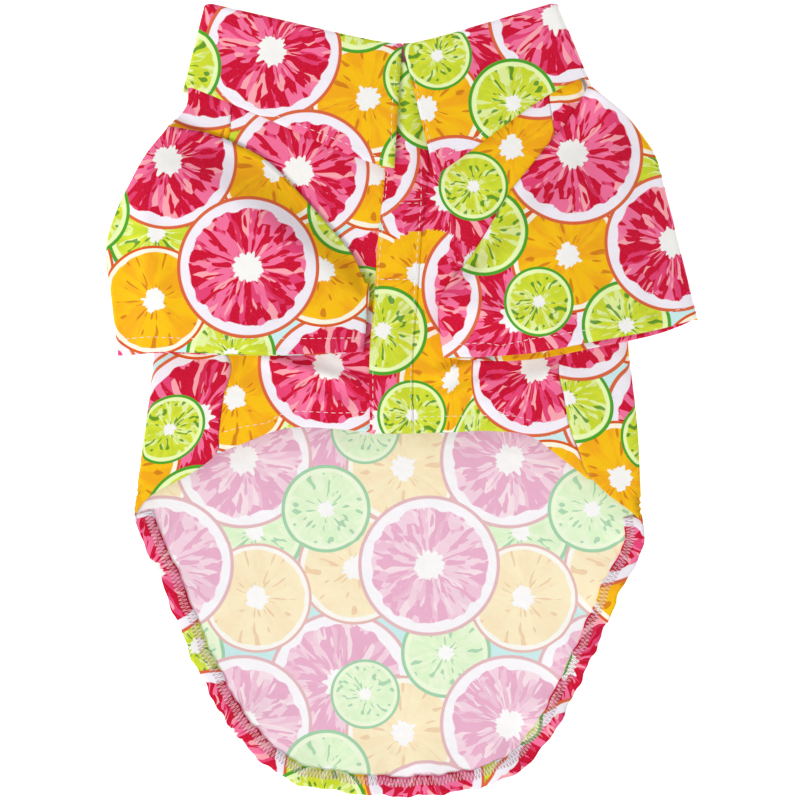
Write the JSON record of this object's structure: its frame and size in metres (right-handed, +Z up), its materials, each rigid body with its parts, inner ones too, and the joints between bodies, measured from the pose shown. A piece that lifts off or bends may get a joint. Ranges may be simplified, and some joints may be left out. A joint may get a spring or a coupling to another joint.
{
  "type": "dog shirt",
  "caption": "Short-sleeved dog shirt with a folded collar, front placket and long rounded back, lying belly side up.",
  "frame": {"origin": "centre of the bounding box, on the surface that the shirt lies on", "axes": "+Z up from the surface, +Y towards the collar, +X to the right of a viewer who looks down on the belly side with the collar at the top"},
  "size_m": [0.2714, 0.3643, 0.0294],
  "materials": {
    "print_cloth": "woven cotton with a printed citrus-slice pattern, matt",
    "hem_cloth": "turned-in printed cloth with overlocked edge",
    "closure": "plain white woven tape"
  },
  "bodies": {
    "root": {"back_panel": "print_cloth", "tail_hem": "hem_cloth", "front_left": "print_cloth", "front_right": "print_cloth", "placket": "print_cloth", "closure_strip": "closure", "sleeve_left": "print_cloth", "sleeve_right": "print_cloth", "collar": "print_cloth"}
  },
  "joints": []
}
